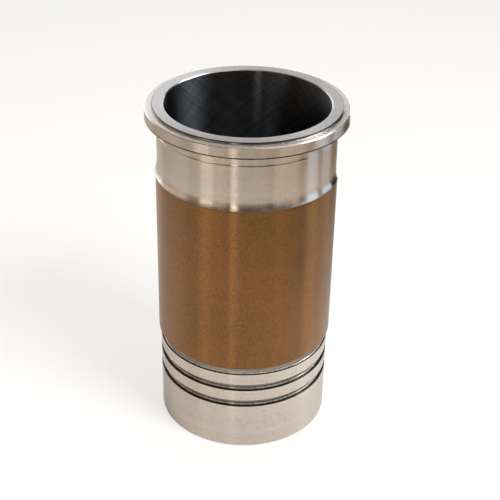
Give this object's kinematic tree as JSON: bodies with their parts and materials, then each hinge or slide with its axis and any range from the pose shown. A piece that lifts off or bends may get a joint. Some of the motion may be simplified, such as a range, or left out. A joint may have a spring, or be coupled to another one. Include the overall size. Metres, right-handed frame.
{
  "type": "cylinder liner",
  "caption": "Flanged wet cylinder liner: honed straight bore, raised fire ring, coated water jacket body, grooved seal lands at the lower end.",
  "frame": {"origin": "centre of the lower end, on the bore's axis", "axes": "+Z along the bore's axis, from the lower end up to the flange"},
  "size_m": [0.1598, 0.1598, 0.282],
  "materials": {
    "liner_iron": "turned and ground bright, with a golden brown coating on the middle of the body and a dark honed bore"
  },
  "bodies": {
    "root": {"cylinder_liner": "liner_iron"}
  },
  "joints": []
}
